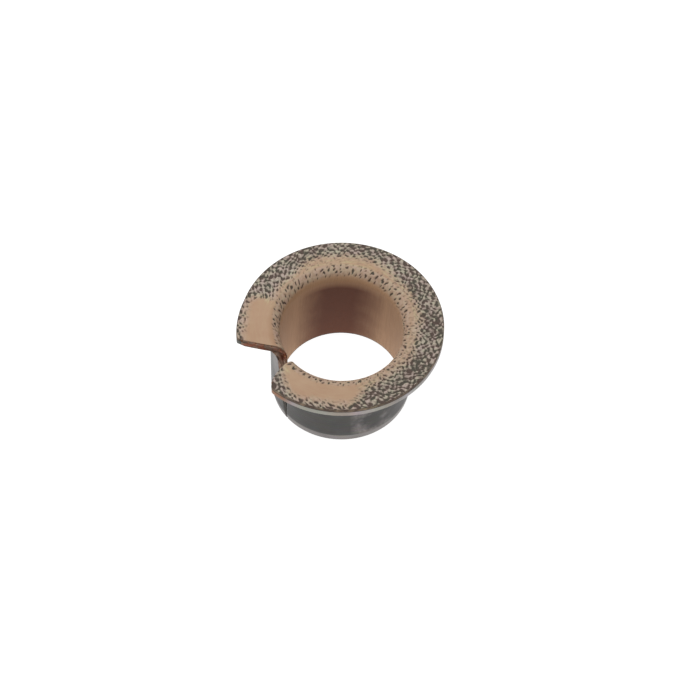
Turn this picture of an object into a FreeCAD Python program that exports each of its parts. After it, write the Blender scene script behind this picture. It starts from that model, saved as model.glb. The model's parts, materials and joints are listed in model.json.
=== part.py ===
"""Flanged split sleeve bushing, lined with filled PTFE on bronze wire mesh. Millimetres, +Z along the bore.

The bush is one strip of laminate, rolled into a sleeve and flared into a flange at its upper end. From the
running surface outwards the laminate is a PTFE tape, a mesh of bronze wires inside that tape, a film of
hot-melt adhesive and a steel backing. The strip's two ends meet at the foot of the split. Flaring the flange
pulls them apart, so the split opens towards the lip and then fans out into a V-shaped notch in the flange.

The origin is on the bore axis, at the foot face that the bush stands on.
"""

import FreeCAD
import Part

import math
import os

from FreeCAD import Vector

# Overall sizes
BORE_RADIUS = 6.0
OVERALL_LENGTH = 10.0
FLANGE_RADIUS = 10.0

# The laminate, from the running surface outwards
LINER_THICKNESS = 0.36
FILM_THICKNESS = 0.04
STEEL_THICKNESS = 0.60

# The bend from sleeve to flange, measured on the flange's underside
UNDERSIDE_RADIUS = 0.30

# The foot of the sleeve: a lead-in on the steel, and a broken edge on the liner
LEAD_IN_DEPTH = 0.12
LEAD_IN_HEIGHT = 0.75
LINER_BREAK = 0.08

# Wire mesh inside the liner
WIRE_DIAMETER = 0.12
HOOP_PITCH = 0.60
AXIAL_WIRE_COUNT = 66
WIRE_TO_FILM = 0.02
WIRE_TO_WIRE = 0.01

# The split and the flange's notch. Angles are about the bore axis, in degrees, from the split's own bearing.
# Each end of the strip is given at the foot, at the lip, midway out on the flange and at the rim.
SPLIT_BEARING = 215.0
LEFT_END_ANGLES = {"foot": 3.9, "lip": -6.8, "midway": -18.0, "rim": -24.5}
RIGHT_END_ANGLES = {"foot": 5.5, "lip": 5.5, "midway": 7.0, "rim": 11.5}

# The flange's corners beside the notch are rounded off. The left one stands proud of the rim's circle, which
# it comes back to over the ear's span, in degrees.
LEFT_EAR_OVERHANG = 0.38
RIGHT_EAR_OVERHANG = 0.0
EAR_SPAN = 30.0
EAR_CORNER_RADIUS = 0.45

# How far cutting shapes reach past what they cut
CUT_MARGIN = 0.15
CUT_OVERRUN = 2.0

# Worked out from the sizes above
WALL = LINER_THICKNESS + FILM_THICKNESS + STEEL_THICKNESS
SLEEVE_RADIUS = BORE_RADIUS + WALL
BEND_CENTRE_RADIUS = SLEEVE_RADIUS + UNDERSIDE_RADIUS
BEND_START = OVERALL_LENGTH - WALL - UNDERSIDE_RADIUS
BEND_LENGTH = math.radians(90) * (WALL / 2 + UNDERSIDE_RADIUS)
FLANGE_LENGTH = FLANGE_RADIUS - BEND_CENTRE_RADIUS
BLANK_RADIUS = FLANGE_RADIUS + LEFT_EAR_OVERHANG + RIGHT_EAR_OVERHANG + CUT_OVERRUN
WIRE_RADIUS = WIRE_DIAMETER / 2
HOOP_DEPTH = LINER_THICKNESS - WIRE_TO_FILM - WIRE_RADIUS
AXIAL_DEPTH = HOOP_DEPTH - WIRE_DIAMETER - WIRE_TO_WIRE
SEAM_BEARING = SPLIT_BEARING + (LEFT_END_ANGLES["foot"] + RIGHT_END_ANGLES["foot"]) / 2

AXIS_FOOT = Vector(0, 0, 0)
UP = Vector(0, 0, 1)


def section_point(radius, height):
    """A point of the XZ half-plane that the layers' sections are drawn in."""
    return Vector(radius, 0, height)


def bend_point(depth, turn):
    """A point in the bend, at a depth below the running surface; turn is 0 at the sleeve and 90 at the flange."""
    radius = WALL + UNDERSIDE_RADIUS - depth
    angle = math.radians(turn)
    return section_point(BEND_CENTRE_RADIUS - radius * math.cos(angle), BEND_START + radius * math.sin(angle))


def bend_arc(depth, first_turn, last_turn):
    """The bend's arc at one depth, as an edge."""
    middle_turn = (first_turn + last_turn) / 2
    points = [bend_point(depth, turn) for turn in (first_turn, middle_turn, last_turn)]
    return Part.Arc(*points).toShape()


def revolve(section, bearing=SEAM_BEARING, sweep=360):
    """A section revolved from a bearing. A full ring's seam lies in the split, so that it never crosses a wall."""
    solid = section.revolve(AXIS_FOOT, UP, sweep)
    solid.rotate(AXIS_FOOT, UP, bearing)
    return solid


def revolve_layer(inner_depth, outer_depth, inner_break=0.0, lead_in=(0.0, 0.0)):
    """One layer of the laminate between two depths, as a full ring whose flange is still oversize."""
    inner_radius = BORE_RADIUS + inner_depth
    outer_radius = BORE_RADIUS + outer_depth
    lead_depth, lead_height = lead_in
    top = OVERALL_LENGTH - inner_depth
    under = OVERALL_LENGTH - outer_depth

    foot = [section_point(outer_radius - lead_depth, 0), section_point(inner_radius + inner_break, 0)]
    if inner_break:
        foot.append(section_point(inner_radius, inner_break))
    foot.append(bend_point(inner_depth, 0))
    flange = [bend_point(inner_depth, 90), section_point(BLANK_RADIUS, top)]
    flange += [section_point(BLANK_RADIUS, under), bend_point(outer_depth, 90)]
    outside = [bend_point(outer_depth, 0)]
    if lead_height:
        outside.append(section_point(outer_radius, lead_height))
    outside.append(foot[0])

    edges = Part.makePolygon(foot).Edges
    edges.append(bend_arc(inner_depth, 0, 90))
    edges += Part.makePolygon(flange).Edges
    edges.append(bend_arc(outer_depth, 90, 0))
    edges += Part.makePolygon(outside).Edges
    return revolve(Part.Face(Part.Wire(edges)))


def around(point, angle):
    """A section point turned about the bore axis to an angle from the split's bearing."""
    return FreeCAD.Rotation(UP, SPLIT_BEARING + angle).multVec(point)


def plan_point(radius, angle):
    """A point seen from above, at a radius and an angle from the split's bearing."""
    return around(Vector(radius, 0, 0), angle)


def end_angle(angles, along):
    """Where a strip end lies, at a length along the laminate from the lip, negative down the sleeve.

    The angle changes evenly up the sleeve, and beyond the lip it follows a parabola through three angles.
    """
    lip, midway, rim = angles["lip"], angles["midway"], angles["rim"]
    if along < 0:
        share = -along / BEND_START
        return angles["foot"] * share + lip * (1 - share)
    share = min(along / (BEND_LENGTH + FLANGE_LENGTH), 1)
    return (
        lip * (1 - share) * (1 - 2 * share)
        + midway * 4 * share * (1 - share)
        + rim * share * (2 * share - 1)
    )


def flange_end_point(angles, radius):
    """The point of a strip end at a radius on the flange, seen from above."""
    return plan_point(radius, end_angle(angles, BEND_LENGTH + radius - BEND_CENTRE_RADIUS))


def gap_section(inner_point, outer_point, left_angle, right_angle):
    """One cross-section of the gap between the strip's ends, through the whole thickness."""
    corners = [
        around(inner_point, left_angle),
        around(outer_point, left_angle),
        around(outer_point, right_angle),
        around(inner_point, right_angle),
    ]
    return Part.makePolygon(corners + corners[:1])


def sleeve_gap_section(height):
    """The gap's cross-section at a height on the sleeve."""
    left, right = (end_angle(angles, height - BEND_START) for angles in (LEFT_END_ANGLES, RIGHT_END_ANGLES))
    inner_point = section_point(BORE_RADIUS - CUT_MARGIN, height)
    outer_point = section_point(SLEEVE_RADIUS + CUT_MARGIN, height)
    return gap_section(inner_point, outer_point, left, right)


def bend_gap_section(turn):
    """The gap's cross-section in the bend."""
    along = BEND_LENGTH * turn / 90
    left, right = (end_angle(angles, along) for angles in (LEFT_END_ANGLES, RIGHT_END_ANGLES))
    return gap_section(bend_point(-CUT_MARGIN, turn), bend_point(WALL + CUT_MARGIN, turn), left, right)


def gap_between_ends():
    """The space between the strip's two ends, from below the foot up to where the bend runs into the flange."""
    sections = [sleeve_gap_section(-CUT_MARGIN), sleeve_gap_section(BEND_START)]
    sections += [bend_gap_section(turn) for turn in (30, 60, 90)]
    return Part.makeLoft(sections, True, True)


def ear(angles, side, overhang):
    """One side of the notch: the strip end's edge, a rounded corner and an arc back to the rim's circle."""
    tip_radius = FLANGE_RADIUS + overhang
    corner_turn = math.degrees(EAR_CORNER_RADIUS / tip_radius)
    corner_start_radius = tip_radius - EAR_CORNER_RADIUS
    edge_middle_radius = (BEND_CENTRE_RADIUS + corner_start_radius) / 2
    edge = [
        flange_end_point(angles, BEND_CENTRE_RADIUS),
        flange_end_point(angles, edge_middle_radius),
        flange_end_point(angles, corner_start_radius),
    ]
    corner = [
        edge[-1],
        plan_point(
            tip_radius - EAR_CORNER_RADIUS * (1 - math.sin(math.radians(45))),
            angles["rim"] + side * corner_turn * (1 - math.cos(math.radians(45))),
        ),
        plan_point(tip_radius, angles["rim"] + side * corner_turn),
    ]
    back_to_rim = [
        corner[-1],
        plan_point(FLANGE_RADIUS + overhang / 2, angles["rim"] + side * EAR_SPAN / 2),
        plan_point(FLANGE_RADIUS, angles["rim"] + side * EAR_SPAN),
    ]
    return edge, corner, back_to_rim


def flange_outline():
    """The flange's outline seen from above, notch included, as a prism that every layer is trimmed to.

    The notch's root lies between the sleeve, which it stays clear of, and the flange's flat.
    """
    left = ear(LEFT_END_ANGLES, -1, LEFT_EAR_OVERHANG)
    right = ear(RIGHT_END_ANGLES, 1, RIGHT_EAR_OVERHANG)
    left_edge, right_edge = left[0], right[0]
    left_back, right_back = left[-1], right[-1]
    notch_root = plan_point((SLEEVE_RADIUS + BEND_CENTRE_RADIUS) / 2, 0)
    edges = [Part.Arc(*points).toShape() for points in left]
    edges.append(Part.Arc(left_back[-1], plan_point(FLANGE_RADIUS, 180), right_back[-1]).toShape())
    edges += [Part.Arc(*reversed(points)).toShape() for points in reversed(right)]
    edges.append(Part.LineSegment(right_edge[0], notch_root).toShape())
    edges.append(Part.LineSegment(notch_root, left_edge[0]).toShape())
    outline = Part.Face(Part.Wire(edges))
    outline.translate(Vector(0, 0, -CUT_OVERRUN))
    return outline.extrude(Vector(0, 0, OVERALL_LENGTH + 2 * CUT_OVERRUN))


def hoop_wire_places():
    """Where each hoop wire lies, one pitch apart from the foot to the rim, as its section point and its along."""
    bend_length = math.radians(90) * (WALL + UNDERSIDE_RADIUS - HOOP_DEPTH)
    bend_end = BEND_START + bend_length
    count = int((bend_end + FLANGE_LENGTH) / HOOP_PITCH)
    places = []
    for number in range(count):
        from_foot = (number + 0.5) * HOOP_PITCH
        if from_foot < BEND_START:
            place = section_point(BORE_RADIUS + HOOP_DEPTH, from_foot)
            along = from_foot - BEND_START
        elif from_foot < bend_end:
            turn = 90 * (from_foot - BEND_START) / bend_length
            place = bend_point(HOOP_DEPTH, turn)
            along = BEND_LENGTH * turn / 90
        else:
            place = section_point(BEND_CENTRE_RADIUS + from_foot - bend_end, OVERALL_LENGTH - HOOP_DEPTH)
            along = BEND_LENGTH + from_foot - bend_end
        places.append((place, along))
    return places


def wire_section(place):
    """A hoop wire's round section."""
    return Part.Face(Part.Wire(Part.makeCircle(WIRE_RADIUS, place, Vector(0, 1, 0))))


def hoop_wire(place, along):
    """One round wire that runs round the bush and stops just inside the strip's two ends."""
    inset = math.degrees(WIRE_RADIUS / place.x)
    start = end_angle(RIGHT_END_ANGLES, along) + inset
    finish = end_angle(LEFT_END_ANGLES, along) + 360 - inset
    return revolve(wire_section(place), SPLIT_BEARING + start, finish - start)


def axial_wire():
    """One round wire that runs up the sleeve, over the lip and out along the flange, at both ends overlong."""
    foot = section_point(BORE_RADIUS + AXIAL_DEPTH, -CUT_OVERRUN)
    spine = Part.Wire(
        [
            Part.LineSegment(foot, bend_point(AXIAL_DEPTH, 0)).toShape(),
            bend_arc(AXIAL_DEPTH, 0, 90),
            Part.LineSegment(
                bend_point(AXIAL_DEPTH, 90), section_point(BLANK_RADIUS, OVERALL_LENGTH - AXIAL_DEPTH)
            ).toShape(),
        ]
    )
    outline = Part.Wire(Part.makeCircle(WIRE_RADIUS, foot, UP))
    return spine.makePipeShell([outline], True, True)


def axial_wires():
    """Every axial wire, evenly spaced round the bore."""
    pitch = 360 / AXIAL_WIRE_COUNT
    wires = []
    for number in range(AXIAL_WIRE_COUNT):
        wire = axial_wire()
        wire.rotate(AXIS_FOOT, UP, (number + 0.5) * pitch)
        wires.append(wire)
    return wires


def save(name, shape):
    """Writes one sub-part, after checking that it is made of sound closed solids."""
    solids = shape.Solids
    if not solids or not all(solid.isValid() and solid.isClosed() for solid in solids):
        raise ValueError(name + " is not made of sound closed solids")
    kept = solids[0] if len(solids) == 1 else Part.makeCompound(solids)
    kept.exportStep(os.path.join("parts", name + ".step"))
    print(name, "solids", len(solids), "volume", round(shape.Volume, 3))


def main():
    os.makedirs("parts", exist_ok=True)
    gap = gap_between_ends()
    outline = flange_outline()
    foot_plane = Part.makeCylinder(BLANK_RADIUS, OVERALL_LENGTH + CUT_OVERRUN)

    def trimmed(shape):
        return shape.cut(gap).common(outline)

    film_depth = LINER_THICKNESS
    steel_depth = LINER_THICKNESS + FILM_THICKNESS
    steel = revolve_layer(steel_depth, WALL, lead_in=(LEAD_IN_DEPTH, LEAD_IN_HEIGHT))
    save("steel_shell", trimmed(steel))
    save("bond_film", trimmed(revolve_layer(film_depth, steel_depth)))

    places = hoop_wire_places()
    for number, (place, along) in enumerate(places, start=1):
        save("hoop_wire_%02d" % number, hoop_wire(place, along))

    axials = axial_wires()
    save("axial_wires", Part.makeCompound([trimmed(wire.common(foot_plane)) for wire in axials]))

    cover = AXIAL_DEPTH - WIRE_RADIUS
    liner = revolve_layer(0, LINER_THICKNESS, inner_break=min(LINER_BREAK, cover - WIRE_TO_WIRE))
    channels = [revolve(wire_section(place)) for place, along in places] + axials
    save("ptfe_liner", trimmed(liner.cut(channels)))


main()
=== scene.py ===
import json
import math

import bpy
from mathutils import Euler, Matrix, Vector


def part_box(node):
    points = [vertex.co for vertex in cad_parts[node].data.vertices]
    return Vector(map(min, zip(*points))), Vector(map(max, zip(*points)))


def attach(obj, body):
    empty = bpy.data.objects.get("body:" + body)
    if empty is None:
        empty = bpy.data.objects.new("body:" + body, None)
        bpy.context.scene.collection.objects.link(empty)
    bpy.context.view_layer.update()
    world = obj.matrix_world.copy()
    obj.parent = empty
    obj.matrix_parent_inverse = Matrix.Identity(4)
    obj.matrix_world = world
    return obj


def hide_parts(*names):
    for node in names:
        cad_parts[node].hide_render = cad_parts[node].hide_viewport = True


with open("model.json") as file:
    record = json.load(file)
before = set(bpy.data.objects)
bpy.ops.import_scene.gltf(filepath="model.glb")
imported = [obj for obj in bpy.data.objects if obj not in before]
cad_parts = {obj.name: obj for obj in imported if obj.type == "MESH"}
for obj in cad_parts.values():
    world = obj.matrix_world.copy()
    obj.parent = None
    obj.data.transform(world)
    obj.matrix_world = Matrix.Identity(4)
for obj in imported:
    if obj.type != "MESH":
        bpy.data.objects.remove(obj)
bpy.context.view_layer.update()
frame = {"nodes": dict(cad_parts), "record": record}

# ------------------------------------------------------------------------------------------ steel backing
# The backing is a strip of cold-rolled low-carbon steel. It is rolled into a sleeve with its ends butted
# together, and its upper end is flared into a flange, which pulls the two ends apart into a V. Every other
# layer is bonded to it, so all of them share one way of being rolled up, which is made here.

MM = 0.001
mounts = {mount["name"]: mount["dims"] for mount in frame["record"]["mounts"] if mount["dims"]}
BORE_RADIUS = mounts["bore"]["r_mm"] * MM
SLEEVE_RADIUS = mounts["sleeve_outside"]["r_mm"] * MM
WALL = SLEEVE_RADIUS - BORE_RADIUS
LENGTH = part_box("ptfe_liner")[1].z
FILM_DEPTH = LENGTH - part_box("bond_film")[1].z
STEEL_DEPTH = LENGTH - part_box("steel_shell")[1].z
FLANGE_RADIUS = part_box("steel_shell")[1].x

UNDERSIDE_RADIUS = 0.3 * MM
BEND_CENTRE_RADIUS = SLEEVE_RADIUS + UNDERSIDE_RADIUS
BEND_START = LENGTH - WALL - UNDERSIDE_RADIUS
BEND_LENGTH = math.pi / 2 * (WALL / 2 + UNDERSIDE_RADIUS)
FLANGE_LENGTH = FLANGE_RADIUS - BEND_CENTRE_RADIUS
STRIP_LENGTH = BEND_LENGTH + FLANGE_LENGTH

# Where the strip's left and right ends lie, as angles from the split's bearing, in degrees.
SPLIT_BEARING = 215.0
FOOT_ANGLES = Vector((3.9, 5.5, 0))
LIP_ANGLES = Vector((-6.8, 5.5, 0))
MIDWAY_ANGLES = Vector((-18.0, 7.0, 0))
RIM_ANGLES = Vector((-24.5, 11.5, 0))
EAR_OVERHANG = 0.37 * MM
EAR_SPAN = 30.0
EAR_CORNER = 0.45 * MM

LEAD_IN_DEPTH = 0.12 * MM
LEAD_IN_HEIGHT = 0.75 * MM


def add_node(tree, kind, inputs=None, **settings):
    """A node with its settings, whose inputs are values or other nodes' outputs."""
    node = tree.nodes.new(kind)
    for name, value in settings.items():
        setattr(node, name, value)
    for socket, value in (inputs or {}).items():
        if isinstance(value, bpy.types.NodeSocket):
            tree.links.new(value, node.inputs[socket])
        else:
            node.inputs[socket].default_value = value
    return node


def calculate(tree, formula, **names):
    """Nodes for a formula in reverse Polish words, whose names are sockets or numbers.

    The word clamp keeps what stands before it between 0 and 1.
    """
    one = {"sin": "SINE", "cos": "COSINE", "sqrt": "SQRT"}
    two = {"+": "ADD", "-": "SUBTRACT", "*": "MULTIPLY", "/": "DIVIDE", "min": "MINIMUM", "max": "MAXIMUM"}
    two["power"] = "POWER"
    stack = []
    for word in formula.split():
        if word in one:
            stack.append(add_node(tree, "ShaderNodeMath", {0: stack.pop()}, operation=one[word]).outputs[0])
        elif word in two:
            second, first = stack.pop(), stack.pop()
            made = add_node(tree, "ShaderNodeMath", {0: first, 1: second}, operation=two[word])
            stack.append(made.outputs[0])
        elif word == "clamp":
            raised = add_node(tree, "ShaderNodeMath", {0: stack.pop(), 1: 0.0}, operation="MAXIMUM")
            kept = add_node(tree, "ShaderNodeMath", {0: raised.outputs[0], 1: 1.0}, operation="MINIMUM")
            stack.append(kept.outputs[0])
        else:
            stack.append(names[word] if word in names else float(word))
    return stack.pop()


def new_geometry_tree(name, sizes, has_geometry=True):
    """A geometry tree with one named input for each size, and its input node and output node."""
    tree = bpy.data.node_groups.new(name, "GeometryNodeTree")
    if has_geometry:
        tree.interface.new_socket("Geometry", in_out="INPUT", socket_type="NodeSocketGeometry")
        tree.interface.new_socket("Geometry", in_out="OUTPUT", socket_type="NodeSocketGeometry")
    for label, value in sizes.items():
        kind = "NodeSocketVector" if isinstance(value, Vector) else "NodeSocketFloat"
        socket = tree.interface.new_socket(label, in_out="INPUT", socket_type=kind)
        if value is not None:
            socket.default_value = value
    return tree, tree.nodes.new("NodeGroupInput").outputs, tree.nodes.new("NodeGroupOutput").inputs


def rolled_place_group():
    """Turns a place on the flat strip into its place on the bush.

    Around runs from 0 at the strip's right end to 1 at its left end. Along is the distance from the lip,
    negative down the sleeve. Depth is how far below the running surface the place lies.
    """
    slope = 4 * MIDWAY_ANGLES - 3 * LIP_ANGLES - RIM_ANGLES
    curl = 2 * LIP_ANGLES - 4 * MIDWAY_ANGLES + 2 * RIM_ANGLES
    sizes = {
        "Around": 0.0,
        "Along": 0.0,
        "Depth": 0.0,
        "Ends at Foot": FOOT_ANGLES,
        "Ends up the Sleeve": LIP_ANGLES - FOOT_ANGLES,
        "Ends out the Flange": slope,
        "Ends' Curl": curl,
        "Split Bearing": SPLIT_BEARING,
        "Bend Start": BEND_START,
        "Bend Length": BEND_LENGTH,
        "Flange Length": FLANGE_LENGTH,
        "Bend Centre Radius": BEND_CENTRE_RADIUS,
        "Underside Bend": WALL + UNDERSIDE_RADIUS,
        "Ear Overhang": EAR_OVERHANG,
        "Ear Span": EAR_SPAN / 360,
        "Ear Corner": EAR_CORNER,
    }
    tree, given, result = new_geometry_tree("rolled place", sizes, has_geometry=False)
    tree.interface.new_socket("Position", in_out="OUTPUT", socket_type="NodeSocketVector")
    tree.interface.new_socket("Angle", in_out="OUTPUT", socket_type="NodeSocketFloat")
    along = given["Along"]

    turn = calculate(tree, "along bend / clamp quarter *", along=along, bend=given["Bend Length"],
                     quarter=math.pi / 2)
    bend_radius = calculate(tree, "whole depth -", whole=given["Underside Bend"], depth=given["Depth"])
    out_flange = calculate(tree, "along bend - 0 max", along=along, bend=given["Bend Length"])
    radius = calculate(tree, "centre bend turn cos * - out +", centre=given["Bend Centre Radius"],
                       bend=bend_radius, turn=turn, out=out_flange)
    height = calculate(tree, "start along 0 min + bend turn sin * +", start=given["Bend Start"],
                       along=along, bend=bend_radius, turn=turn)

    up_sleeve = calculate(tree, "along start / 1 + clamp", along=along, start=given["Bend Start"])
    whole = calculate(tree, "bend flange +", bend=given["Bend Length"], flange=given["Flange Length"])
    share = calculate(tree, "along whole / clamp", along=along, whole=whole)
    ends = given["Ends at Foot"]
    square = calculate(tree, "share share *", share=share)
    factors = {"Ends up the Sleeve": up_sleeve, "Ends out the Flange": share, "Ends' Curl": square}
    for label, factor in factors.items():
        scaled = add_node(tree, "ShaderNodeVectorMath", {0: given[label], "Scale": factor},
                          operation="SCALE")
        ends = add_node(tree, "ShaderNodeVectorMath", {0: ends, 1: scaled.outputs[0]}).outputs[0]
    split = add_node(tree, "ShaderNodeSeparateXYZ", {0: ends}).outputs
    angle = calculate(tree, "bearing right + 360 left + right - around * + degree *", left=split[0],
                      right=split[1], bearing=given["Split Bearing"], around=given["Around"],
                      degree=math.radians(1))

    flange_share = calculate(tree, "out flange / 1 min", out=out_flange, flange=given["Flange Length"])
    from_left = calculate(tree, "1 around -", around=given["Around"])
    overhang = calculate(tree, "1 left span / - 0 max overhang * share *", left=from_left,
                         span=given["Ear Span"], overhang=given["Ear Overhang"], share=flange_share)
    to_end = calculate(tree, "left around min radius * turn *", left=from_left, around=given["Around"],
                       radius=radius, turn=2 * math.pi)
    corner = calculate(tree, "1 1 1 end corner / 1 min - 2 power - sqrt - corner * share 8 power *",
                       end=to_end, corner=given["Ear Corner"], share=flange_share)
    radius = calculate(tree, "radius overhang + corner -", radius=radius, overhang=overhang, corner=corner)

    x = calculate(tree, "radius angle cos *", radius=radius, angle=angle)
    y = calculate(tree, "radius angle sin *", radius=radius, angle=angle)
    place = add_node(tree, "ShaderNodeCombineXYZ", {0: x, 1: y, 2: height})
    tree.links.new(place.outputs[0], result["Position"])
    tree.links.new(angle, result["Angle"])
    return tree


rolled_place = rolled_place_group()


def roll_up_tree():
    """Rolls up a layer that lies flat, with its ends painted as cut faces."""
    tree, given, result = new_geometry_tree("roll up", {})
    for label in ("Surface", "Cut Face"):
        tree.interface.new_socket(label, in_out="INPUT", socket_type="NodeSocketMaterial")
    position = tree.nodes.new("GeometryNodeInputPosition").outputs[0]
    flat = add_node(tree, "ShaderNodeSeparateXYZ", {0: position})
    depth = calculate(tree, "0 height -", height=flat.outputs[2])
    place = add_node(tree, "GeometryNodeGroup", node_tree=rolled_place)
    for label, value in (("Around", flat.outputs[0]), ("Along", flat.outputs[1]), ("Depth", depth)):
        tree.links.new(value, place.inputs[label])
    layer = given["Geometry"]
    for label, value in (("around", flat.outputs[0]), ("along", flat.outputs[1])):
        kept = add_node(tree, "GeometryNodeStoreNamedAttribute",
                        {"Geometry": layer, "Name": label, "Value": value}, domain="POINT",
                        data_type="FLOAT")
        layer = kept.outputs[0]
    rolled = add_node(tree, "GeometryNodeSetPosition",
                      {"Geometry": layer, "Position": place.outputs["Position"]})

    # A face lies on a cut end when its middle is at 0 or 1 round the strip.
    stored = add_node(tree, "GeometryNodeInputNamedAttribute", {"Name": "around"}, data_type="FLOAT")
    middle = add_node(tree, "GeometryNodeFieldOnDomain", {0: stored.outputs[0]}, domain="FACE",
                      data_type="FLOAT")
    from_half = calculate(tree, "middle 0.5 - middle 0.5 - *", middle=middle.outputs[0])
    is_end = add_node(tree, "FunctionNodeCompare", {0: from_half, 1: 0.5 ** 2 - 1e-6},
                      data_type="FLOAT", operation="GREATER_THAN")
    real = add_node(tree, "GeometryNodeRealizeInstances", {"Geometry": rolled.outputs[0]})
    painted = add_node(tree, "GeometryNodeSetMaterial",
                       {"Geometry": real.outputs[0], "Material": given["Surface"]})
    ends = add_node(tree, "GeometryNodeSetMaterial",
                    {"Geometry": painted.outputs[0], "Selection": is_end.outputs[0],
                     "Material": given["Cut Face"]})
    tree.links.new(ends.outputs[0], result["Geometry"])
    return tree


roll_up = roll_up_tree()


def spread(first, last, step):
    """Evenly spaced numbers from first to last, both included, about a step apart."""
    count = max(1, round(abs(last - first) / step))
    return [first + (last - first) * number / count for number in range(count + 1)]


def rounded_corner(depth, along, into_depth, into_along, radius, steps=3):
    """Points of a rounded corner of a layer's section, from its face round to its end."""
    points = []
    for step in range(steps + 1):
        turn = math.pi / 2 * step / steps
        points.append((depth + into_depth * radius * (1 - math.sin(math.pi / 2 - turn)),
                       along + into_along * radius * (1 - math.sin(turn))))
    return points


BACK_STEP = 0.5 * MM
BEND_STEP = 0.12 * MM
LEAD_IN_POINTS = (0.03, 0.35, 0.7)


def layer_section(inner, outer, rounding, bore_step, lip_step, lead_in=(0.0, 0.0)):
    """A layer's section on the flat strip as (depth, along), round from the foot's inner corner."""
    foot, rim = -BEND_START, STRIP_LENGTH
    face = [(inner, place) for place in spread(foot + rounding, 0, bore_step)[1:-1]]
    face += [(inner, place) for place in spread(0, rim - rounding, lip_step)[:-1]]
    face += rounded_corner(inner, rim, 1, -1, rounding)
    face += reversed(rounded_corner(outer, rim, -1, -1, rounding))
    back = [(outer, place) for place in spread(rim - rounding, BEND_LENGTH, BACK_STEP)[1:-1]]
    back += [(outer, place) for place in spread(BEND_LENGTH, 0, BEND_STEP)[:-1]]
    lead_depth, lead_height = lead_in
    back += [(outer, place) for place in spread(0, foot + max(lead_height, rounding), bore_step)]
    if lead_height:
        back += [(outer - lead_depth * share, foot + lead_height * (1 - share))
                 for share in LEAD_IN_POINTS]
    back += rounded_corner(outer - lead_depth, foot, -1, 1, rounding)[1 if not lead_height else 0:]
    foot_end = list(reversed(rounded_corner(inner, foot, 1, 1, rounding)))
    return face + back + foot_end


def flat_layer(name, section, columns):
    """A closed flat layer: its section swept along the strip, from one end to the other."""
    height = len(section)
    vertices = [(column / columns, along, -depth)
                for column in range(columns + 1) for depth, along in section]
    faces = []
    for column in range(columns):
        here, there = column * height, (column + 1) * height
        for row in range(height):
            after = (row + 1) % height
            faces.append((here + row, there + row, there + after, here + after))
    faces.append(tuple(range(height)))
    faces.append(tuple(columns * height + row for row in reversed(range(height))))
    mesh = bpy.data.meshes.new(name)
    mesh.from_pydata(vertices, [], faces)
    mesh.shade_smooth()
    piece = bpy.data.objects.new(name, mesh)
    bpy.context.scene.collection.objects.link(piece)
    return piece


def add_tree(piece, tree, values):
    """Puts a geometry tree on a piece, with its inputs set by their names."""
    modifier = piece.modifiers.new(tree.name, "NODES")
    modifier.node_group = tree
    for item in tree.interface.items_tree:
        if item.in_out == "INPUT" and item.name in values:
            modifier[item.identifier] = values[item.name]


def finish_piece(piece, *nodes, slot):
    """Makes what the piece's modifiers give into its own plain mesh, and ties it to the bush."""
    bpy.context.view_layer.update()
    evaluated = piece.evaluated_get(bpy.context.evaluated_depsgraph_get())
    mesh = bpy.data.meshes.new_from_object(evaluated)
    piece.modifiers.clear()
    piece.data = mesh
    mesh.name = piece.name
    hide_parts(*nodes)
    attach(piece, "root")


def linear(colour):
    """An sRGB hex colour as the linear colour that a shader takes."""
    parts = [int(colour[place:place + 2], 16) / 255 for place in (1, 3, 5)]
    return [part / 12.92 if part <= 0.04045 else ((part + 0.055) / 1.055) ** 2.4 for part in parts] + [1.0]


def new_material(name):
    """A material with an empty tree but for its output and its principled shader."""
    material = bpy.data.materials.new(name)
    material.use_nodes = True
    tree = material.node_tree
    tree.nodes.clear()
    shader = tree.nodes.new("ShaderNodeBsdfPrincipled")
    output = tree.nodes.new("ShaderNodeOutputMaterial")
    tree.links.new(shader.outputs[0], output.inputs[0])
    return material, tree, shader


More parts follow.
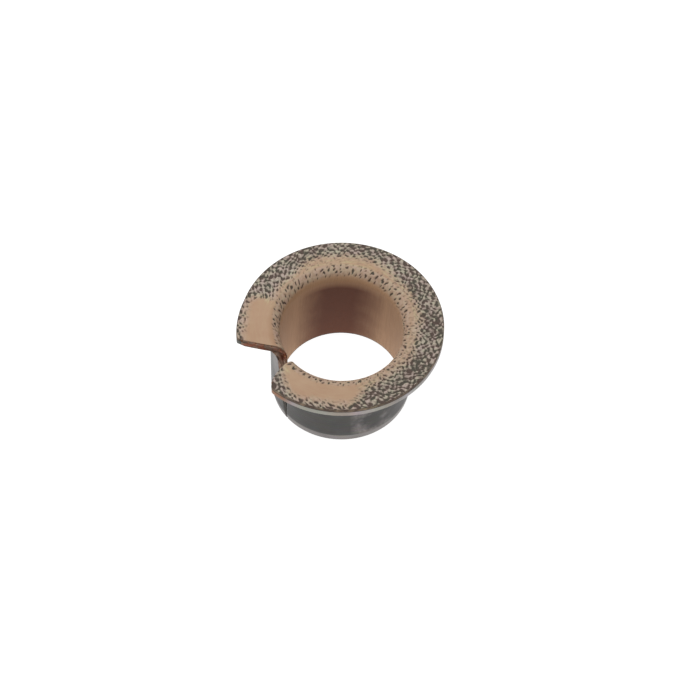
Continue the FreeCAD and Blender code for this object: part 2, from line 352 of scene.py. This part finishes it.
def rolled_steel():
    """Cold-rolled steel under a dull skin of oil and oxide.

    It is dark and finely streaked round the sleeve. It has painted highlights on the rim and on the edge by
    the split, a painted reflection on the lead-in, and it is brighter where it has been scuffed. A
    pattern's scale is n / MM, which gives about n marks to the millimetre.
    """
    material, tree, shader = new_material("cold rolled steel")
    place = tree.nodes.new("ShaderNodeTexCoord").outputs["Object"]
    around = add_node(tree, "ShaderNodeAttribute", attribute_name="around").outputs["Fac"]
    along = add_node(tree, "ShaderNodeAttribute", attribute_name="along").outputs["Fac"]
    flat = calculate(tree, "around length *", around=around, length=2 * math.pi * SLEEVE_RADIUS)
    drawn = add_node(tree, "ShaderNodeCombineXYZ", {0: flat, 1: along})
    streaked = add_node(tree, "ShaderNodeMapping",
                        {"Vector": drawn.outputs[0], "Scale": (0.5 / MM, 9 / MM, 1)})
    streaks = add_node(tree, "ShaderNodeTexNoise",
                       {"Vector": streaked.outputs[0], "Scale": 1.0, "Detail": 3.0})
    clouds = add_node(tree, "ShaderNodeTexNoise", {"Vector": place, "Scale": 0.45 / MM, "Detail": 4.0})
    grit = add_node(tree, "ShaderNodeTexNoise", {"Vector": place, "Scale": 2.6 / MM, "Detail": 3.0})
    skin = add_node(tree, "ShaderNodeMix", {"Factor": clouds.outputs["Fac"], 6: linear("#42413f"),
                                            7: linear("#595755")}, data_type="RGBA")

    # Painted highlights on the rim's edge away from the two ends and on a strip beside the split, and a
    # painted reflection on the lead-in.
    to_end = calculate(tree, "around 1 around - min fade / 1 min", around=around, fade=0.02)
    rim = calculate(tree, "along rim - width / clamp 0.8 * end *", along=along,
                    rim=STRIP_LENGTH - 0.14 * MM, width=0.06 * MM, end=to_end)
    foot = calculate(tree, "foot along - width / clamp 0.5 *", along=along,
                     foot=LEAD_IN_HEIGHT + 0.22 * MM - BEND_START, width=0.08 * MM)
    beside = calculate(tree, "around edge - fade / clamp", around=around, edge=0.955, fade=0.02)
    above = calculate(tree, "along low + fade / clamp", along=along, low=4.5 * MM, fade=2 * MM)
    below = calculate(tree, "0 along - fade / clamp", along=along, fade=0.2 * MM)
    by_split = calculate(tree, "beside above * below * 0.45 *", beside=beside, above=above, below=below)
    # The rim, lead-in and split strip make one mask of painted highlight and reflection, broken up by
    # clouds.
    pressed = calculate(tree, "rim foot max split max clouds 0.35 + *", rim=rim, foot=foot,
                        split=by_split, clouds=clouds.outputs["Fac"])

    # One upright scuffed patch, broken up by clouds and grit.
    from_scuff = calculate(tree, "around middle - half /", around=around, middle=0.215, half=0.055)
    scuff = calculate(tree, "1 off off * - 0 max clouds 0.42 - 5 * clamp *", off=from_scuff,
                      clouds=clouds.outputs["Fac"])
    scuffed = calculate(tree, "scuff grit 1.3 * 0.15 - *", scuff=scuff, grit=grit.outputs["Fac"])
    highlight_and_scuff = calculate(tree, "pressed scuffed max clamp", pressed=pressed, scuffed=scuffed)
    bright = add_node(tree, "ShaderNodeMix", {"Factor": highlight_and_scuff, 6: skin.outputs[2], 7: linear("#aaa19f")},
                      data_type="RGBA")

    # Bronze dragged over the rim at the strip's right end.
    at_right = calculate(tree, "reach around - fade / clamp", around=around, reach=0.05, fade=0.02)
    at_rim = calculate(tree, "along rim - fade / clamp", along=along, rim=STRIP_LENGTH - 0.2 * MM,
                       fade=0.1 * MM)
    smeared = calculate(tree, "right rim *", right=at_right, rim=at_rim)
    coppery = add_node(tree, "ShaderNodeMix", {"Factor": smeared, 6: bright.outputs[2],
                                               7: linear("#8d6550")}, data_type="RGBA")
    lined = add_node(tree, "ShaderNodeMix", {"Factor": 0.3, 6: coppery.outputs[2],
                                             7: streaks.outputs["Color"]},
                     data_type="RGBA", blend_type="SOFT_LIGHT")
    tree.links.new(lined.outputs[2], shader.inputs["Base Color"])
    shader.inputs["Metallic"].default_value = 1.0
    rough = calculate(tree, "streaks 0.3 * 0.28 +", streaks=streaks.outputs["Fac"])
    tree.links.new(rough, shader.inputs["Roughness"])
    bump = add_node(tree, "ShaderNodeBump", {"Height": streaks.outputs["Fac"], "Strength": 0.3,
                                             "Distance": 0.02 * MM})
    tree.links.new(bump.outputs[0], shader.inputs["Normal"])
    return material


def cut_face():
    """The strip's sheared ends, where flaring the flange smeared bronze from the mesh over the steel.

    They are half matt and red-brown there, with raw orange patches, and plain dull steel farther down.
    """
    material, tree, shader = new_material("bronze smeared sheared edge")
    place = tree.nodes.new("ShaderNodeTexCoord").outputs["Object"]
    along = add_node(tree, "ShaderNodeAttribute", attribute_name="along").outputs["Fac"]
    patches = add_node(tree, "ShaderNodeTexNoise", {"Vector": place, "Scale": 0.9 / MM, "Detail": 3.0})
    specks = add_node(tree, "ShaderNodeTexNoise", {"Vector": place, "Scale": 3 / MM, "Detail": 3.0})
    brown = add_node(tree, "ShaderNodeMix", {"Factor": specks.outputs["Fac"], 6: linear("#66534a"),
                                             7: linear("#b99a84")}, data_type="RGBA")
    raw = calculate(tree, "patches 0.5 - 7 * 0 max 0.8 min", patches=patches.outputs["Fac"])
    orange = add_node(tree, "ShaderNodeMix", {"Factor": raw, 6: brown.outputs[2], 7: linear("#a8634a")},
                      data_type="RGBA")
    down_sleeve = calculate(tree, "0 along - start - fade / clamp", along=along, start=2.5 * MM,
                            fade=1 * MM)
    dulled = add_node(tree, "ShaderNodeMix", {"Factor": down_sleeve, 6: orange.outputs[2],
                                              7: linear("#55504c")}, data_type="RGBA")
    tree.links.new(dulled.outputs[2], shader.inputs["Base Color"])
    shader.inputs["Metallic"].default_value = 0.5
    shader.inputs["Roughness"].default_value = 0.5
    bump = add_node(tree, "ShaderNodeBump", {"Height": specks.outputs["Fac"], "Strength": 0.6,
                                             "Distance": 0.05 * MM})
    tree.links.new(bump.outputs[0], shader.inputs["Normal"])
    return material


sheared = cut_face()
steel_section = layer_section(STEEL_DEPTH, WALL, rounding=0.04 * MM, bore_step=0.6 * MM,
                              lip_step=0.2 * MM, lead_in=(LEAD_IN_DEPTH, LEAD_IN_HEIGHT))
steel_shell = flat_layer("steel_backing", steel_section, columns=240)
add_tree(steel_shell, roll_up, {"Surface": rolled_steel(), "Cut Face": sheared})
finish_piece(steel_shell, "steel_shell", slot="steel_backing")

# ------------------------------------------------------------------------------------------ adhesive film
# A film of hot-melt adhesive bonds the liner to the steel. It was laid between them and melted under heat
# and pressure, and shows only at the edges, as a thin dark line.


def melted_adhesive():
    """Hot-melt adhesive: a dark brown resin with a soft shine, mottled where it ran unevenly."""
    material, tree, shader = new_material("hot melt adhesive film")
    place = tree.nodes.new("ShaderNodeTexCoord").outputs["Object"]
    mottle = add_node(tree, "ShaderNodeTexNoise", {"Vector": place, "Scale": 0.9 / MM, "Detail": 3.0})
    colour = add_node(tree, "ShaderNodeMix", {"Factor": mottle.outputs["Fac"], 6: linear("#2b211b"),
                                              7: linear("#4a3526")}, data_type="RGBA")
    tree.links.new(colour.outputs[2], shader.inputs["Base Color"])
    shader.inputs["Roughness"].default_value = 0.5
    return material


film_section = layer_section(FILM_DEPTH, STEEL_DEPTH, rounding=0.008 * MM, bore_step=0.6 * MM,
                             lip_step=0.2 * MM)
bond_film = flat_layer("adhesive_film", film_section, columns=240)
add_tree(bond_film, roll_up, {"Surface": melted_adhesive(), "Cut Face": sheared})
finish_piece(bond_film, "bond_film", slot="adhesive_film")

# ------------------------------------------------------------------------------------------ bronze mesh
# The liner is calendered onto a mesh woven of drawn bronze wires, some round the bush and some along it.
# Each wire passes over one crossing wire and under the next. Only cut ends show, at the strip's two ends.

WIRE_RADIUS = 0.06 * MM
HOOP_PITCH = 0.6 * MM
AXIAL_COUNT = 66
MESH_DEPTH = 0.215 * MM
WIRE_LIFT = 0.065 * MM
PROUD = 0.02 * MM
STEPS_PER_CROSSING = 4
WIRE_SIDES = 6


def woven_wire_tree():
    """Bends straight wires over and under each other on the flat strip, rolls them up, makes them round."""
    sizes = {"Wire Radius": WIRE_RADIUS, "Mesh Depth": MESH_DEPTH, "Lift": WIRE_LIFT,
             "Axial Wires": float(AXIAL_COUNT), "Hoop Pitch": HOOP_PITCH, "Foot": -BEND_START}
    tree, given, result = new_geometry_tree("woven wire", sizes)
    tree.interface.new_socket("Wire", in_out="INPUT", socket_type="NodeSocketMaterial")
    position = tree.nodes.new("GeometryNodeInputPosition").outputs[0]
    flat = add_node(tree, "ShaderNodeSeparateXYZ", {0: position})
    around, along = flat.outputs[0], flat.outputs[1]
    crossing = calculate(tree, "around wires * along foot - pitch / + 1 - pi *", around=around,
                         along=along, wires=given["Axial Wires"], foot=given["Foot"],
                         pitch=given["Hoop Pitch"], pi=math.pi)
    depth = calculate(tree, "middle crossing cos lift * -", middle=given["Mesh Depth"], crossing=crossing,
                      lift=given["Lift"])
    place = add_node(tree, "GeometryNodeGroup", node_tree=rolled_place)
    for label, value in (("Around", around), ("Along", along), ("Depth", depth)):
        tree.links.new(value, place.inputs[label])
    rolled = add_node(tree, "GeometryNodeSetPosition",
                      {"Geometry": given["Geometry"], "Position": place.outputs["Position"]})
    path = add_node(tree, "GeometryNodeMeshToCurve", {"Mesh": rolled.outputs[0]})
    section = add_node(tree, "GeometryNodeCurvePrimitiveCircle",
                       {"Resolution": WIRE_SIDES, "Radius": given["Wire Radius"]})
    round_wire = add_node(tree, "GeometryNodeCurveToMesh", {"Curve": path.outputs[0],
                                                            "Profile Curve": section.outputs[0],
                                                            "Fill Caps": True})
    real = add_node(tree, "GeometryNodeRealizeInstances", {"Geometry": round_wire.outputs[0]})
    painted = add_node(tree, "GeometryNodeSetMaterial",
                       {"Geometry": real.outputs[0], "Material": given["Wire"]})
    tree.links.new(painted.outputs[0], result["Geometry"])
    return tree


def straight_wires(name, wires):
    """An object of straight wires on the flat strip, each given as its points."""
    vertices = [point for wire in wires for point in wire]
    edges = []
    first = 0
    for wire in wires:
        edges += [(first + number, first + number + 1) for number in range(len(wire) - 1)]
        first += len(wire)
    mesh = bpy.data.meshes.new(name)
    mesh.from_pydata(vertices, edges, [])
    piece = bpy.data.objects.new(name, mesh)
    bpy.context.scene.collection.objects.link(piece)
    return piece


def drawn_bronze():
    """Drawn phosphor bronze wire: warm and half bright, tarnished unevenly brown."""
    material, tree, shader = new_material("drawn bronze wire")
    place = tree.nodes.new("ShaderNodeTexCoord").outputs["Object"]
    tarnish = add_node(tree, "ShaderNodeTexNoise", {"Vector": place, "Scale": 1.5 / MM, "Detail": 3.0})
    colour = add_node(tree, "ShaderNodeMix", {"Factor": tarnish.outputs["Fac"], 6: linear("#7a4b34"),
                                              7: linear("#c98f66")}, data_type="RGBA")
    tree.links.new(colour.outputs[2], shader.inputs["Base Color"])
    shader.inputs["Metallic"].default_value = 1.0
    shader.inputs["Roughness"].default_value = 0.38
    return material


woven_wire = woven_wire_tree()
bronze = drawn_bronze()
proud_share = PROUD / (2 * math.pi * SLEEVE_RADIUS)
hoop_steps = spread(-proud_share, 1 + proud_share, 1 / (AXIAL_COUNT * STEPS_PER_CROSSING))
hoop_nodes = sorted(name for name in frame["nodes"] if name.startswith("hoop_wire"))
for number, node in enumerate(hoop_nodes):
    along = (number + 0.5) * HOOP_PITCH - BEND_START
    hoop = straight_wires("bronze_" + node, [[(around, along, 0) for around in hoop_steps]])
    add_tree(hoop, woven_wire, {"Wire": bronze})
    finish_piece(hoop, node, slot="bronze_wire")

axial_steps = spread(PROUD - BEND_START, STRIP_LENGTH - PROUD, HOOP_PITCH / STEPS_PER_CROSSING)
axial_places = [(number + 0.5) / AXIAL_COUNT for number in range(AXIAL_COUNT)]
axial_paths = [[(around, along, 0) for along in axial_steps] for around in axial_places]
axials = straight_wires("bronze_axial_wires", axial_paths)
add_tree(axials, woven_wire, {"Wire": bronze, "Lift": -WIRE_LIFT})
finish_piece(axials, "axial_wires", slot="bronze_wire")

# ------------------------------------------------------------------------------------------ PTFE liner
# The running surface is a tape of PTFE with fillers, calendered onto the bronze mesh. Flaring the flange
# stretched the tape, so that the weave stands out as pillows there and along the lip, and the liner is
# darker between them.


def filled_ptfe():
    """Bronze-filled PTFE: waxy tan, paler on the pillows, with painted shade in brown on the far side of
    the bore.
    """
    material, tree, shader = new_material("bronze filled PTFE tape")
    place = tree.nodes.new("ShaderNodeTexCoord").outputs["Object"]
    stored = {label: add_node(tree, "ShaderNodeAttribute", attribute_name=label).outputs["Fac"]
              for label in ("around", "along", "up", "net", "hollow", "calm")}
    flat = calculate(tree, "around length *", around=stored["around"], length=2 * math.pi * SLEEVE_RADIUS)
    drawn = add_node(tree, "ShaderNodeCombineXYZ", {0: flat, 1: stored["along"]})
    clouds = add_node(tree, "ShaderNodeTexNoise", {"Vector": place, "Scale": 0.55 / MM, "Detail": 4.0})
    specks = add_node(tree, "ShaderNodeTexNoise", {"Vector": place, "Scale": 3.2 / MM, "Detail": 3.0})
    tints = add_node(tree, "ShaderNodeTexNoise", {"Vector": place, "Scale": 1.3 / MM, "Detail": 1.0})
    hoops = add_node(tree, "ShaderNodeMapping",
                     {"Vector": drawn.outputs[0], "Scale": (0.6 / MM, 5.2 / MM, 1)})
    streaks = add_node(tree, "ShaderNodeTexNoise",
                       {"Vector": hoops.outputs[0], "Scale": 1.0, "Detail": 2.0})
    axial = add_node(tree, "ShaderNodeMapping",
                     {"Vector": drawn.outputs[0], "Scale": (6 / MM, 0.35 / MM, 1)})
    grain = add_node(tree, "ShaderNodeTexNoise",
                     {"Vector": axial.outputs[0], "Scale": 1.0, "Detail": 3.0})

    # The flange: tan with yellow streaks, which are faint where it is calm, and pale flecked pillows.
    tan = add_node(tree, "ShaderNodeMix", {"Factor": clouds.outputs["Fac"], 6: linear("#ab8468"),
                                           7: linear("#bda083")}, data_type="RGBA")
    past_lip = calculate(tree, "along start - fade / clamp", along=stored["along"], start=0.9 * MM,
                         fade=0.5 * MM)
    yellow_share = calculate(tree, "streaks 0.46 - 6 * clamp lip * 0.7 0.6 calm * - *",
                             streaks=streaks.outputs["Fac"], lip=past_lip, calm=stored["calm"])
    streaky = add_node(tree, "ShaderNodeMix", {"Factor": yellow_share, 6: tan.outputs[2],
                                               7: linear("#c0b186")}, data_type="RGBA")
    rosy = calculate(tree, "tint 0.4 - 5 * clamp", tint=tints.outputs["Fac"])
    knuckle = add_node(tree, "ShaderNodeMix", {"Factor": rosy, 6: linear("#d4ceb4"),
                                               7: linear("#d9c4ba")}, data_type="RGBA")
    flecked = calculate(tree, "specks 0.36 - 3.2 * clamp", specks=specks.outputs["Fac"])
    pale = add_node(tree, "ShaderNodeMix", {"Factor": flecked, 6: linear("#95867a"),
                                            7: knuckle.outputs[2]}, data_type="RGBA")
    pillow = add_node(tree, "ShaderNodeMix", {"Factor": stored["net"], 6: streaky.outputs[2],
                                              7: pale.outputs[2]}, data_type="RGBA")

    # The bore: tan with a fine upright grain, and a wide brown patch of painted shade on its far side,
    # darker down the bore.
    in_bore = calculate(tree, "top up - fade / clamp", up=stored["up"], top=0.3 * MM, fade=0.4 * MM)
    brown = add_node(tree, "ShaderNodeMix", {"Factor": grain.outputs["Fac"], 6: linear("#a68265"),
                                             7: linear("#c8a582")}, data_type="RGBA")
    deep = calculate(tree, "0 up - start - fade / clamp", up=stored["up"], start=0.1 * MM,
                     fade=1.2 * MM)
    # Painted shade: a dark brown patch on the bore's far wall, growing down from the lip.
    from_far_wall_shade = calculate(tree, "around middle - half / clouds 0.5 - 0.3 * +", around=stored["around"],
                            middle=0.66, half=0.125, clouds=clouds.outputs["Fac"])
    far_wall_shade = calculate(tree, "1.1 off off * - clamp deep *", off=from_far_wall_shade, deep=deep)
    far_wall_shaded = add_node(tree, "ShaderNodeMix", {"Factor": far_wall_shade, 6: brown.outputs[2],
                                                 7: linear("#6b3f2a")}, data_type="RGBA")
    running = add_node(tree, "ShaderNodeMix", {"Factor": in_bore, 6: pillow.outputs[2],
                                               7: far_wall_shaded.outputs[2]}, data_type="RGBA")

    # Darker in the weave's hollows and along the foot, with painted shade along the rim's edge.
    # The band along the rim's edge is painted shade, patchy with the tints.
    at_rim = calculate(tree, "along rim - fade / clamp tint 1.6 * clamp *", along=stored["along"],
                       rim=STRIP_LENGTH - 0.12 * MM, fade=0.08 * MM, tint=tints.outputs["Fac"])
    at_foot = calculate(tree, "foot along - fade / clamp", along=stored["along"],
                        foot=0.16 * MM - BEND_START, fade=0.12 * MM)
    dirt = calculate(tree, "hollow 1.15 * specks 0.5 - 2.2 * net * + rim max foot max 0 max 0.95 min",
                     hollow=stored["hollow"], specks=specks.outputs["Fac"], net=stored["net"],
                     rim=at_rim, foot=at_foot)
    dark_tone = add_node(tree, "ShaderNodeMix", {"Factor": rosy, 6: linear("#433f36"),
                                            7: linear("#4c3c34")}, data_type="RGBA")
    darkened = add_node(tree, "ShaderNodeMix", {"Factor": dirt, 6: running.outputs[2],
                                              7: dark_tone.outputs[2]}, data_type="RGBA")
    tree.links.new(darkened.outputs[2], shader.inputs["Base Color"])
    shader.inputs["IOR"].default_value = 1.35
    rough = calculate(tree, "0.5 bore 0.12 * + dirt 0.2 * +", bore=in_bore, dirt=dirt)
    tree.links.new(rough, shader.inputs["Roughness"])
    bump = add_node(tree, "ShaderNodeBump", {"Height": specks.outputs["Fac"], "Strength": 0.35,
                                             "Distance": 0.05 * MM})
    tree.links.new(bump.outputs[0], shader.inputs["Normal"])
    return material


def weave_tree():
    """Presses the mesh's weave into the flat liner, and marks how it shows and how deep each place lies.

    The net covers the flange's outer band. Its inner edge wanders, and each patch moves that edge in or out
    by its reach, at its own middle and half width round the strip. Where the edge lies far out the liner is
    calm. A row of slanted dashes runs along the lip, which two rises lift or lower.
    """
    sizes = {
        "Axial Wires": float(AXIAL_COUNT),
        "Hoop Pitch": HOOP_PITCH,
        "Weave Depth": 0.08 * MM,
        "Lip Row": 0.5 * MM,
        "Lip Half Width": 0.45 * MM,
        "Far Lip Rise": Vector((0.68, 0.26, 0.38 * MM)),
        "Near Lip Rise": Vector((0.13, 0.26, 0.3 * MM)),
        "Net Starts": 0.95 * MM,
        "Net Fade": 1.3 * MM,
        "Wander": 1.8 * MM,
        "Right End Patch": Vector((0.10, 0.10, 1.8 * MM)),
        "Near Side Patch": Vector((0.31, 0.13, -0.2 * MM)),
        "Far Side Patch": Vector((0.67, 0.13, 0.75 * MM)),
        "Left End Patch": Vector((0.955, 0.085, 1.9 * MM)),
    }
    tree, given, result = new_geometry_tree("press the weave", sizes)
    position = tree.nodes.new("GeometryNodeInputPosition").outputs[0]
    flat = add_node(tree, "ShaderNodeSeparateXYZ", {0: position})
    around, along, height = flat.outputs
    unrolled = calculate(tree, "around length *", around=around, length=2 * math.pi * FLANGE_RADIUS)
    drawn = add_node(tree, "ShaderNodeCombineXYZ", {0: unrolled, 1: along})
    warp = add_node(tree, "ShaderNodeTexNoise",
                    {"Vector": drawn.outputs[0], "Scale": 0.9 / MM, "Detail": 2.0})
    warps = add_node(tree, "ShaderNodeSeparateXYZ", {0: warp.outputs["Color"]})
    ragged = add_node(tree, "ShaderNodeTexNoise",
                      {"Vector": drawn.outputs[0], "Scale": 2.6 / MM, "Detail": 2.0}).outputs["Fac"]
    blotch = add_node(tree, "ShaderNodeTexNoise",
                      {"Vector": drawn.outputs[0], "Scale": 0.26 / MM, "Detail": 3.0}).outputs["Fac"]

    # Two waves, one for each way that the wires run, cross in a checkered field of pillows.
    u = calculate(tree, "around wires * warp 0.5 - 2 * + turn *", around=around, wires=given["Axial Wires"],
                  warp=warps.outputs[0], turn=2 * math.pi)
    v = calculate(tree, "along pitch / warp 0.5 - 2 * + turn *", along=along, pitch=given["Hoop Pitch"],
                  warp=warps.outputs[1], turn=2 * math.pi)
    weave = calculate(tree, "u cos v cos * ragged 0.5 - 2.3 * +", u=u, v=v, ragged=ragged)
    slanted = calculate(tree, "u v 0.35 * + cos v cos * ragged 0.5 - 1.2 * +", u=u, v=v, ragged=ragged)
    dashes = calculate(tree, "0 slanted - 0.33 - 0.4 / clamp", slanted=slanted)

    edge = calculate(tree, "start blotch 0.5 - wander * +", start=given["Net Starts"], blotch=blotch,
                     wander=given["Wander"])
    for label in ("Right End Patch", "Near Side Patch", "Far Side Patch", "Left End Patch"):
        middle, half_width, reach = add_node(tree, "ShaderNodeSeparateXYZ", {0: given[label]}).outputs
        off = calculate(tree, "around middle - half /", around=around, middle=middle, half=half_width)
        edge = calculate(tree, "edge 1 off off * - 1.4 * clamp reach * +", edge=edge, off=off, reach=reach)
    outer = calculate(tree, "along edge - fade / clamp", along=along, edge=edge, fade=given["Net Fade"])
    hollow = calculate(tree, "blotch 0.5 - 1.4 * 0.42 + weave - 1 outer - 0.8 * - 0.75 / clamp",
                       blotch=blotch, weave=weave, outer=outer)
    between = calculate(tree, "hollow outer 2 * 1 min *", hollow=hollow, outer=outer)
    calm = calculate(tree, "edge start - fade / clamp", edge=edge, start=1.6 * MM, fade=0.6 * MM)

    up = along
    for label in ("Far Lip Rise", "Near Lip Rise"):
        middle, half_width, rise = add_node(tree, "ShaderNodeSeparateXYZ", {0: given[label]}).outputs
        off = calculate(tree, "around middle - half /", around=around, middle=middle, half=half_width)
        up = calculate(tree, "up 1 off off * - 0 max rise * -", up=up, off=off, rise=rise)
    off_lip = calculate(tree, "up row - half /", up=up, row=given["Lip Row"], half=given["Lip Half Width"])
    at_lip = calculate(tree, "1 off off * - 1.6 * clamp", off=off_lip)

    # Only the running surface is pressed, past the lip: its height is 0, and the layer's back lies deeper.
    past_lip = calculate(tree, "along fade / 0.4 + clamp", along=along, fade=0.2 * MM)
    surface = calculate(tree, "height fade / 1 + clamp", height=height, fade=0.01 * MM)
    on_top = calculate(tree, "lip surface *", lip=past_lip, surface=surface)
    spots = calculate(tree, "blotch 0.4 - 3 * 0.06 max 0.8 min 1 calm - *", blotch=blotch, calm=calm)
    faint = calculate(tree, "along start - fade / clamp spots *", along=along, start=0.6 * MM,
                      fade=0.4 * MM, spots=spots)
    net_share = calculate(tree, "outer lip 0.4 * max faint 0.5 * max top *", outer=outer, lip=at_lip,
                          faint=faint, top=on_top)
    hollow_share = calculate(tree, "between dashes lip faint max * max top *", between=between,
                             dashes=dashes, lip=at_lip, faint=faint, top=on_top)
    drop = calculate(tree, "0 hollow depth * -", hollow=hollow_share, depth=given["Weave Depth"])
    offset = add_node(tree, "ShaderNodeCombineXYZ", {2: drop})
    pressed = given["Geometry"]
    marks = {"up": up, "net": net_share, "hollow": hollow_share, "calm": calm}
    for label, value in marks.items():
        kept = add_node(tree, "GeometryNodeStoreNamedAttribute",
                        {"Geometry": pressed, "Name": label, "Value": value}, domain="POINT",
                        data_type="FLOAT")
        pressed = kept.outputs[0]
    moved = add_node(tree, "GeometryNodeSetPosition", {"Geometry": pressed, "Offset": offset.outputs[0]})
    tree.links.new(moved.outputs[0], result["Geometry"])
    return tree


liner_section = layer_section(0, FILM_DEPTH, rounding=0.05 * MM, bore_step=0.45 * MM,
                              lip_step=0.055 * MM)
liner = flat_layer("ptfe_tape", liner_section, columns=720)
add_tree(liner, weave_tree(), {})
add_tree(liner, roll_up, {"Surface": filled_ptfe(), "Cut Face": sheared})
finish_piece(liner, "ptfe_liner", slot="filled_ptfe")

# ------------------------------------------------------------------------------------------ floor
# The bush stands on a sheet of white paper, which lies a hair below it. The paper glows, so that it stays
# white all round, and it is much wider than the view.

FLOOR_HALF = 0.6
FLOOR_DROP = 0.02 * MM
floor_corners = [(x * FLOOR_HALF, y * FLOOR_HALF, -FLOOR_DROP)
                 for x, y in ((-1, -1), (1, -1), (1, 1), (-1, 1))]
floor_mesh = bpy.data.meshes.new("floor")
floor_mesh.from_pydata(floor_corners, [], [(0, 1, 2, 3)])
floor = bpy.data.objects.new("floor", floor_mesh)
bpy.context.scene.collection.objects.link(floor)
floor_material, floor_tree, floor_shader = new_material("white paper")
floor_shader.inputs["Base Color"].default_value = linear("#808080")
floor_shader.inputs["Roughness"].default_value = 0.9
floor_shader.inputs["Emission Color"].default_value = linear("#ffffff")
floor_shader.inputs["Emission Strength"].default_value = 0.97
floor_mesh.materials.append(floor_material)

# ------------------------------------------------------------------------------------------ light
# An even white room fills the shadows, and one square softbox hangs behind the bush and to its left. It
# gives the sleeve and the bore their soft shading.

ROOM_STRENGTH = 0.42
SOFTBOX_SIZE = 0.12
SOFTBOX_POWER = 0.19
SOFTBOX_PLACE = Vector((-0.05, 0.06, 0.16))
SOFTBOX_AIM = Vector((0, 0, 5 * MM))

room = bpy.data.worlds.new("studio")
bpy.context.scene.world = room
room.use_nodes = True
backdrop = room.node_tree.nodes["Background"]
backdrop.inputs["Color"].default_value = linear("#ffffff")
backdrop.inputs["Strength"].default_value = ROOM_STRENGTH

lamp = bpy.data.lights.new("overhead", "AREA")
lamp.size = SOFTBOX_SIZE
lamp.energy = SOFTBOX_POWER
softbox = bpy.data.objects.new("overhead", lamp)
softbox.location = SOFTBOX_PLACE
softbox.rotation_euler = (SOFTBOX_AIM - SOFTBOX_PLACE).to_track_quat("-Z", "Y").to_euler()
bpy.context.scene.collection.objects.link(softbox)

# ------------------------------------------------------------------------------------------ camera
# The camera looks down at the bush from the front with a long lens. Its aim lies a little to the right of
# the bush's axis and up the view, and it is turned slightly about its own axis.

ELEVATION = math.radians(56)
DISTANCE = 0.278
LENS = 142.4
SENSOR_WIDTH = 36
NEAREST = 0.01
ROLL = 0.015
AIM_RIGHT = 0.86 * MM
AIM_UP = 3.22 * MM

camera_data = bpy.data.cameras.new("camera")
camera_data.lens = LENS
camera_data.sensor_width = SENSOR_WIDTH
camera_data.clip_start = NEAREST
camera = bpy.data.objects.new("camera", camera_data)
stand = Vector((0, -math.cos(ELEVATION), math.sin(ELEVATION))) * DISTANCE
view_up = Vector((0, math.sin(ELEVATION), math.cos(ELEVATION)))
aim = Vector((1, 0, 0)) * AIM_RIGHT + view_up * AIM_UP
camera.location = stand
look = (aim - stand).to_track_quat("-Z", "Y")
camera.rotation_euler = (look.to_matrix() @ Euler((0, 0, ROLL)).to_matrix()).to_euler()
bpy.context.scene.collection.objects.link(camera)
bpy.context.scene.camera = camera
bpy.context.scene.view_settings.view_transform = "Standard"
